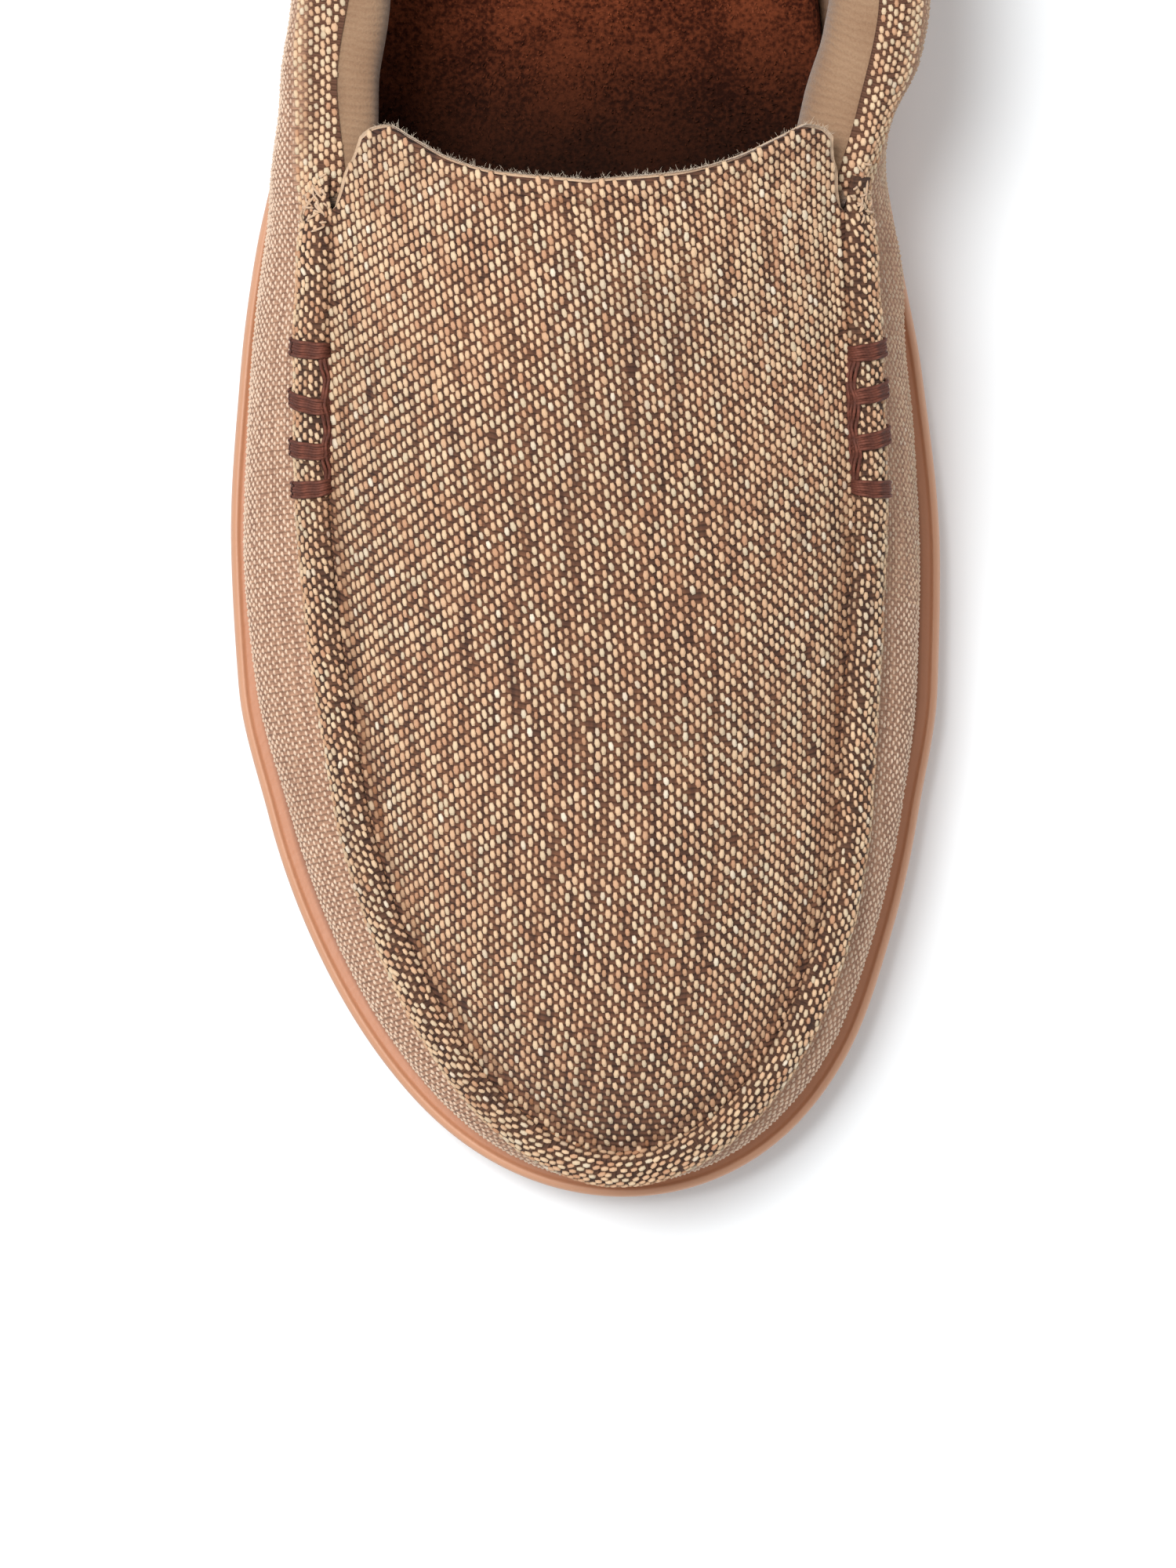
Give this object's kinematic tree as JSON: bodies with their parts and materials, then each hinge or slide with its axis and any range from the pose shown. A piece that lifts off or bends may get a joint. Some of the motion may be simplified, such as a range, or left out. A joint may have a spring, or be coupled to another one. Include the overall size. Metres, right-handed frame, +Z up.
{
  "type": "moccasin slipper",
  "caption": "Right moccasin slipper: hollow canvas upper with a raised seam round its plug, padded collar, plush footbed and rimmed rubber sole.",
  "frame": {"origin": "centre of the bounding box in plan, on the floor", "axes": "+Z up, toe along -Y, heel along +Y, medial side of this right shoe along +X"},
  "size_m": [0.11, 0.29, 0.0775],
  "materials": {
    "rubber": "tan moulded rubber, satin",
    "plush": "dark brown short pile",
    "canvas": "plain weave, beige warp over dark brown weft"
  },
  "bodies": {
    "root": {"outsole": "rubber", "insole": "plush", "upper": "canvas", "seam_roll": "canvas"}
  },
  "joints": []
}
